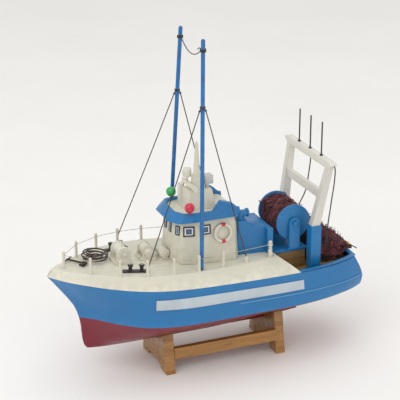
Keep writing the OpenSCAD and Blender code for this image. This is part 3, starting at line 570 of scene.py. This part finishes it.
# ---------------------------------------------------------------- cords
def cord_curve(name, points, diameter, material, body, node):
    """Open spline through points, in metres, standing for a CAD cord."""
    curve = bpy.data.curves.new(name, "CURVE")
    curve.dimensions = "3D"
    curve.bevel_depth = diameter / 2
    curve.bevel_resolution = 3
    curve.use_fill_caps = True
    spline = curve.splines.new("POLY")
    spline.points.add(len(points) - 1)
    for place, p in zip(spline.points, points):
        place.co = (*p, 1)
    curve.materials.append(material)
    obj = bpy.data.objects.new(name, curve)
    bpy.context.collection.objects.link(obj)
    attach(obj, body)
    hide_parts(node)
    return obj


COIL_TURNS = 5
COIL_STEPS = 24  # points in a turn
COIL_ROPE = 0.0024
COIL_RING = 16 * MM  # middle of the coil to the middle of its bundle of turns
COIL_LAY = 5.0 * MM  # middle of the bundle to each turn
COIL_TILT = 3  # degrees, with the deck's rise to the bow
COIL_START = 2.6  # radians round the coil
LANE_START, LANE_SWEEP = -70, 310  # degrees round the bundle
TIP_X, TIP_HALF, TIP_Z, TIP_SAG = -14.6, 41.6, 536, 16  # mm, the line between the boom heads
TIP_STEPS = 24


def anchor_coil():
    """Hank of anchor rope on the foredeck, each turn beside the last round its bundle."""
    low, high = (Vector(corner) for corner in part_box("anchor_rope"))
    middle = (low + high) / 2
    tilt = Matrix.Rotation(math.radians(COIL_TILT), 3, "Y")
    steps = COIL_TURNS * COIL_STEPS
    path = []
    for i in range(steps + 1):
        turn = math.tau * COIL_TURNS * i / steps + COIL_START
        lane = math.radians(LANE_START + LANE_SWEEP * i / steps)
        radius = COIL_RING + COIL_LAY * math.cos(lane)
        flat = Vector((radius * math.cos(turn), radius * math.sin(turn),
                       COIL_LAY * math.sin(lane)))
        path.append(middle + tilt @ flat)
    return path


def gallows_lines():
    """The fall to the net drum, and the hanger down the port post to its curled foot."""
    fall = smooth_path([
        at(198, 0, 325), at(198.5, 0, 318), at(197, 0, 304), at(195, 0, 288),
        at(192.8, 0, 272), at(189, 0, 260), at(184, 0, 250), at(179, 0, 241)], 3)
    hanger = smooth_path([
        at(197, -85.5, 333.5), at(197, -88.5, 330), at(197, -89, 320), at(196, -88, 300),
        at(195, -85, 280), at(195, -81, 260), at(196, -75, 240), at(197.5, -69, 220),
        at(199, -64, 200), at(198, -61, 186), at(194, -59, 178), at(189.5, -58, 178)], 2)
    return fall, hanger


def tip_line_path():
    """Slack line between the boom heads, hanging as a parabola."""
    shares = (k / TIP_STEPS for k in range(TIP_STEPS + 1))
    return [at(TIP_X, -TIP_HALF + 2 * TIP_HALF * u, TIP_Z - 4 * TIP_SAG * u * (1 - u)) for u in shares]


def make_cords():
    """The four free cords, drawn at their diameters along their paths."""
    coil = anchor_coil()
    rope = cord_curve("anchor_rope_cord", coil, COIL_ROPE, ROPE, "hull", "anchor_rope")
    tip = tip_line_path()
    line = cord_curve("boom_tip_cord", tip, 0.0016, LINE, "hull", "boom_tip_line")
    fall, hanger = gallows_lines()
    drop = cord_curve("gallows_fall_cord", fall, 0.002, LINE, "hull", "gallows_fall")
    side = cord_curve("gallows_hanger_cord", hanger, 0.002, LINE, "hull", "gallows_hanger")


make_cords()

# ---------------------------------------------------------------- net on the drum
DRUM = at(151, 0, 227)
NET_HALF = 33.0 * MM  # half the wound net's width
BARREL = 10.1 * MM  # the hole through the net, round the drum's barrel
ROLL_SIDES = 96
ROLL_STEPS = 24
CORE_SINK = 0.8 * MM  # the core, painted dark as the net's shade, lies this far under the twine
CROSS_TWINES = 30  # each way
CROSS_STEPS = 30
CROSS_TURN = 1.9  # radians round the roll from one flange to the other


def roll_radius(angle, y):
    """Height of the wound net over the drum's axis, lumpy all round."""
    p = Vector((math.cos(angle) * 2.0, y / 0.014, math.sin(angle) * 2.0))
    return (24.6 + 2.4 * noise.noise(p) + 0.9 * noise.noise(p * 3.1)) * MM


def on_roll(angle, y, lift=0.0):
    """A point on the wound net, lift metres proud of it."""
    r = roll_radius(angle, y) + lift
    return DRUM + Vector((r * math.cos(angle), y, r * math.sin(angle)))


def make_drum_net():
    """Wound net: a lumpy core painted dark as shade, crossing meshes, loose loops, ends and a toggle."""
    core = Bundle()
    angles = [math.tau * k / ROLL_SIDES for k in range(ROLL_SIDES)]
    rows = [[DRUM + Vector((BARREL * math.cos(a), -NET_HALF, BARREL * math.sin(a))) for a in angles]]
    for i in range(ROLL_STEPS + 1):
        y = -NET_HALF + 2 * NET_HALF * i / ROLL_STEPS
        rows.append([on_roll(a, y, -CORE_SINK) for a in angles])
    rows.append([p + Vector((0, 2 * NET_HALF, 0)) for p in rows[0]])
    core.rows(rows)
    core.object("drum_net_core", NET_SHADED, "net_drum", "net_burgundy", ["drum_net"])

    rng = random.Random(5)
    mesh, faded = Bundle(), Bundle()
    for way in (-1, 1):
        for k in range(CROSS_TWINES):
            start = math.tau * k / CROSS_TWINES + rng.uniform(-0.08, 0.08)
            path = []
            for i in range(CROSS_STEPS + 1):
                y = NET_HALF * 0.96 * (2 * i / CROSS_STEPS - 1)
                a = start + way * CROSS_TURN * i / CROSS_STEPS + 0.06 * math.sin(i * 1.3 + k)
                path.append(on_roll(a, y, 0.0001 + 0.0006 * abs(math.sin(i * 2.1 + k))))
            mesh.tube(path, 0.00036, 4)
    edge, step = 0.95 * NET_HALF, 0.0026
    for k in range(150):
        a, y = rng.uniform(0, math.tau), rng.uniform(-0.9, 0.9) * NET_HALF
        heading, curl = rng.uniform(-0.5, 0.5), rng.uniform(-0.3, 0.3)
        hop = rng.uniform(0.6, 3.2) * MM
        path = []
        for i in range(rng.randint(12, 34)):
            lift = 0.0005 + hop * abs(math.sin(i * 0.5))
            path.append(on_roll(a, max(-edge, min(edge, y)), lift))
            heading += curl * 0.25 + rng.uniform(-0.12, 0.12)
            a += step / 0.025 * math.cos(heading)
            y += step * math.sin(heading)
        (faded if k % 5 == 0 else mesh).tube(path, rng.uniform(0.45, 0.9) * MM, 5)
    mesh.object("drum_net_twine", NET, "net_drum", "net_burgundy")
    faded.object("drum_net_faded", NET_FADED, "net_drum", "net_burgundy")

    ends = Bundle()
    for k in range(58):
        a = rng.uniform(0, math.tau)
        y = rng.choice((-1, 1)) * rng.uniform(0.1, 0.92) * NET_HALF
        root = on_roll(a, y, -0.001)
        out = Vector((math.cos(a), 0, math.sin(a)))
        round_way = Vector((-math.sin(a), rng.uniform(-0.6, 0.6), math.cos(a)))
        round_way *= rng.choice((-1, 1))
        reach = rng.uniform(4.5, 9.0) * MM
        ends.tube(smooth_path([root, root + out * reach * 0.6 + round_way * reach * 0.3,
                               root + out * reach * 0.85 + round_way * reach * 0.9,
                               root + out * reach * 0.7 + round_way * reach * 1.4]),
                  rng.uniform(0.5, 0.85) * MM, 5, taper=0.4)
    ends.object("drum_net_ends", NET, "net_drum", "net_burgundy")

    toggle = Bundle()
    low, high = at(127, 29.5, 238), at(119.5, 31, 246)
    bowed = low.lerp(high, 0.5) + Vector((0, 0, 0.0007))
    toggle.tube(smooth_path([low, bowed, high]), 0.0008, 7)
    for share in (0.42, 0.5, 0.58, 0.66):
        toggle.ring(low.lerp(high, share), high - low, 0.0013, 0.0006)
    toggle.object("net_toggle", LINE, "net_drum", "dark_rope")


make_drum_net()

# ---------------------------------------------------------------- net heaped at the stern
HEAP_START = 190.0  # mm along the drawing's X
HEAP_END = 262.0
HEAP_HALF = 38.0
DECK_Z = 145.4
CAP_RISE = 18.4  # from the deck to the bulwark cap
HEAP_STEPS = 40
FOOT_STEPS = 10
RIDGE = [  # x, z in mm
    (190, 200), (199, 212), (207, 207), (214, 202), (225, 193), (236, 184), (248, 175),
    (258, 168), (262, 165)]


def heap_ridge(x):
    """Height of the heap's middle line at a station, mm."""
    for (x0, z0), (x1, z1) in zip(RIDGE, RIDGE[1:]):
        if x <= x1:
            return z0 + (z1 - z0) * (x - x0) / (x1 - x0)
    return RIDGE[-1][1]


def heap_foot(x):
    """The deck under the heap, then the bulwark cap at the stern."""
    return DECK_Z + CAP_RISE * min(1.0, max(0.0, (x - 243) / 8))


def heap_top(x, y):
    """Height of the heap's lumpy top, mm."""
    share = min(1.0, abs(y) / HEAP_HALF)
    slope = (1 - share ** 4) ** 0.5
    lumps = (2.6 * noise.noise(Vector((x / 11, y / 11, 3.1)))
             + 1.1 * noise.noise(Vector((x / 4, y / 4, 8.7))))
    return heap_foot(x) + (heap_ridge(x) - heap_foot(x)) * slope + lumps * slope - 2.2


def make_stern_net():
    """Heaped net: a lumpy body painted dark as shade, loose loops, stray ends, a float and a rod."""
    heap = Bundle()
    rows = []
    for i in range(HEAP_STEPS + 1):
        x = HEAP_START + (HEAP_END - HEAP_START) * i / HEAP_STEPS
        waist = 0.9 + 0.1 * noise.noise(Vector((x / 13, 0, 0)))
        half = HEAP_HALF * waist * (1 - 0.1 * (i / HEAP_STEPS) ** 3)
        shares = [2 * k / HEAP_STEPS - 1 for k in range(HEAP_STEPS + 1)]
        top = [at(x, half * share, heap_top(x, half * share * HEAP_HALF / half)) for share in shares]
        foot = [at(x, half * (1 - 2 * k / FOOT_STEPS), heap_foot(x)) for k in range(FOOT_STEPS + 1)]
        rows.append(top + foot)
    heap.rows(rows)
    heap.object("stern_net_heap", NET_SHADED, "hull", "net_burgundy", ["stern_net"])

    rng = random.Random(23)
    twine, strays, pale, faded = Bundle(), Bundle(), Bundle(), Bundle()
    edge, step = 0.98 * HEAP_HALF, 2.2
    for k in range(330):
        x, y = rng.uniform(HEAP_START + 2, HEAP_END - 4), rng.uniform(-0.97, 0.97) * HEAP_HALF
        heading, curl = rng.uniform(0, math.tau), rng.uniform(-0.5, 0.5)
        hop, phase = rng.uniform(0.6, 6.5), rng.uniform(0, math.pi)
        path = []
        for i in range(rng.randint(8, 26)):
            path.append(at(x, y, heap_top(x, y) + 0.4 + hop * abs(math.sin(i * 0.42 + phase))))
            heading += curl * 0.2 + rng.uniform(-0.25, 0.25)
            x = min(HEAP_END, max(HEAP_START, x + step * math.cos(heading)))
            y = min(edge, max(-edge, y + step * math.sin(heading)))
        strand = pale if k % 24 == 0 else faded if k % 5 == 0 else twine
        strand.tube(path, rng.uniform(0.5, 0.95) * MM, 5)
    for k in range(150):
        x, y = rng.uniform(HEAP_START, HEAP_END - 6), rng.uniform(-0.8, 0.8) * HEAP_HALF
        root = at(x, y, heap_top(x, y) - 1)
        lean = Vector((rng.uniform(-0.3, 1.0), rng.uniform(-0.7, 0.7), rng.uniform(0.4, 1.1)))
        lean.normalize()
        reach = rng.uniform(6, 14) * MM
        bend = Vector((rng.uniform(-1, 1), rng.uniform(-1, 1), rng.uniform(-0.3, 1)))
        bend *= reach * 0.3
        strays.tube(smooth_path([root, root + lean * reach * 0.5 + bend, root + lean * reach]),
                    rng.uniform(0.5, 0.85) * MM, 5, taper=0.4)
    for k in range(60):
        x, y = rng.uniform(HEAP_START, HEAP_END - 18), -HEAP_HALF * rng.uniform(0.93, 0.99)
        low = at(x, y, heap_foot(x) + rng.uniform(2, 30))
        turn = rng.uniform(-0.8, 0.8)
        twine.tube(smooth_path([low, low + Vector((0.003, -0.0008, 0.004 * turn)),
                                low + Vector((0.007, 0, 0.006 * turn))]), 0.0006, 5)
    twine.object("stern_net_twine", NET, "hull", "net_burgundy")
    strays.object("stern_net_ends", NET, "hull", "net_burgundy")
    pale.object("stern_net_blue_twine", TWINE_BLUE, "hull")
    faded.object("stern_net_faded", NET_FADED, "hull", "net_burgundy")

    float_ball = Bundle()
    middle = at(257, -33, 171.5)
    float_ball.ball(middle, (0.0026, 0.0040, 0.0026))
    float_ball.tube([middle + Vector((0, 0.006, 0)), middle - Vector((0, 0.006, 0))], 0.0007, 6)
    float_ball.object("net_float", YELLOW, "hull")
    rod = Bundle()
    rod_path = [at(250, -34, 173), at(259, -35, 169), at(268, -36, 164), at(272.5, -36.5, 161)]
    rod.tube(smooth_path(rod_path), 0.0009, 8)
    rod.object("net_rod", LINE, "hull", "dark_rope")


make_stern_net()

# ---------------------------------------------------------------- stays and knots
STAY = 0.95 * MM
STAY_PITCH = 4.2 * MM
STAY_SAG = 1.5 * MM
TIP_KNOT = 42.0  # mm from the middle line to the tip line's knots


def loose_parts(node):
    """The separate solids of a CAD node, each as an array of its corner points."""
    mesh = NODES[node].data
    places = [tuple(round(c, 5) for c in v.co) for v in mesh.vertices]
    parent = list(range(len(places)))

    def top(i):
        while parent[i] != i:
            parent[i] = parent[parent[i]]
            i = parent[i]
        return i

    first = {}
    for i, place in enumerate(places):
        parent[top(i)] = top(first.setdefault(place, i))
    for edge in mesh.edges:
        parent[top(edge.vertices[0])] = top(edge.vertices[1])
    groups = {}
    for i, v in enumerate(mesh.vertices):
        groups.setdefault(top(i), []).append(tuple(v.co))
    return [np.array(points) for points in groups.values()]


def make_stays():
    """Twisted thread down from each boom collar to the rail posts, wrapped at the collar."""
    threads, knots = Bundle(), Bundle()
    for points in loose_parts("boom_stays"):
        high = Vector(points[points[:, 2] > points[:, 2].max() - 0.002].mean(0))
        low = Vector(points[points[:, 2] < points[:, 2].min() + 0.002].mean(0))
        middle = high.lerp(low, 0.5) - Vector((0, 0, STAY_SAG))
        twisted(smooth_path([high, middle, low], 16), STAY, STAY_PITCH, threads)
        side = -1 if low.x < high.x else 1
        boom = high - Vector((side * 0.0052, 0, -0.002))
        for k in range(4):
            wrap = boom + Vector((0, 0, 0.0046 - 0.0015 * k))
            knots.ring(wrap, (side * 0.1, 0.08, 1), 0.0039, 0.0007)
        knots.ball(high, (0.0018, 0.0016, 0.002))
    threads.object("stay_threads", THREAD, "hull", "thread", ["boom_stays"])
    knots.object("stay_knots", THREAD, "hull", "thread")

    tip = Bundle()
    for side in (-1, 1):
        collar = at(-14.5, side * 46.9, TIP_Z)
        for k in range(3):
            wrap = collar + Vector((0, 0, 0.0016 * (k - 1)))
            tip.ring(wrap, (0, side * 0.12, 1), 0.0044, 0.0008)
        tip.ball(at(TIP_X, side * TIP_KNOT, 536.2), (0.0017, 0.0016, 0.0018))
    tail = at(TIP_X, -TIP_KNOT, TIP_Z)
    bowed, end = tail + Vector((-0.002, 0.004, 0.002)), tail + Vector((-0.004, 0.007, -0.001))
    tip.tube(smooth_path([tail, bowed, end]), 0.0007, 5)
    tip.object("tip_line_knots", LINE, "hull", "dark_rope")


make_stays()


# ---------------------------------------------------------------- windows
HOUSE_MIDDLE = at(-5, 0, 240)
NARROW = 4 * MM  # a slit window's pane is narrower than this from its middle


def make_glass():
    """Dark blue panes and their glazing bead, set into each window's recess."""
    glass, bead = Bundle(), Bundle()
    for points in loose_parts("window_panes"):
        axes = np.linalg.eigh(np.cov((points - points.mean(0)).T))[1]
        out, up, along = (Vector(axes[:, k]) for k in range(3))
        if abs(up.z) < abs(along.z):
            up, along = along, up
        centre = Vector((points.max(0) + points.min(0)) / 2)
        flat = Vector((centre.x - HOUSE_MIDDLE.x, centre.y - HOUSE_MIDDLE.y, 0))
        if out.dot(flat) < 0:
            out = -out
        depth = max((Vector(p) - centre).dot(out) for p in points)
        if max(abs((Vector(p) - centre).dot(along)) for p in points) < NARROW:
            glass.block(centre + out * depth, out * 0.0002, along * 0.0014, up * 0.0044)
            continue
        face = centre + out * (depth - 0.00015)
        glass.block(face, out * 0.0002, along * 0.0038, up * 0.0033)
        for s in (-1, 1):
            proud, thick = out * 0.0002, out * 0.0003
            bead.block(face + along * 0.0039 * s + proud, thick, along * 0.0003, up * 0.0036)
            bead.block(face + up * 0.0034 * s + proud, thick, along * 0.0040, up * 0.0003)
    glass.object("window_glass", GLASS, "house", "window_black", smooth=False)
    bead.object("window_beads", FRAME_BLACK, "house", "window_black", smooth=False)


make_glass()


# ---------------------------------------------------------------- painted highlight on the bulwark cap
STERN_HALF = 18 * MM  # the line stops this far from the middle of the stern
SAME = 0.01 * MM
STATION_GAP = 4 * MM


def make_cap_highlight():
    """Pale blue line along the outer edge of the bulwark cap, a painted highlight."""
    points = [tuple(v.co) for v in NODES["bulwark_cap"].data.vertices]
    line = Bundle()
    for side in (-1, 1):
        outer = {}  # at each station, the widest corner, or the lower of two as wide
        for x, y, z in points:
            if y * side <= STERN_HALF:
                continue
            old = outer.setdefault(round(x, 3), (x, y, z))
            wider = abs(y) - abs(old[1])
            if wider > SAME or (abs(wider) < SAME and z < old[2]):
                outer[round(x, 3)] = (x, y, z)
        edge = [Vector(outer[key]) for key in sorted(outer)]
        spaced = [edge[0]]
        for p in edge[1:]:
            if (p - spaced[-1]).length > STATION_GAP:
                spaced.append(p)
        path = [p + Vector((0, side * 0.0001, 0.0004)) for p in spaced]
        line.tube(smooth_path(path, 3), 0.00045, 6)
    line.object("cap_edge_highlight", STRAKE_HIGHLIGHT, "hull", "strake_blue")


make_cap_highlight()
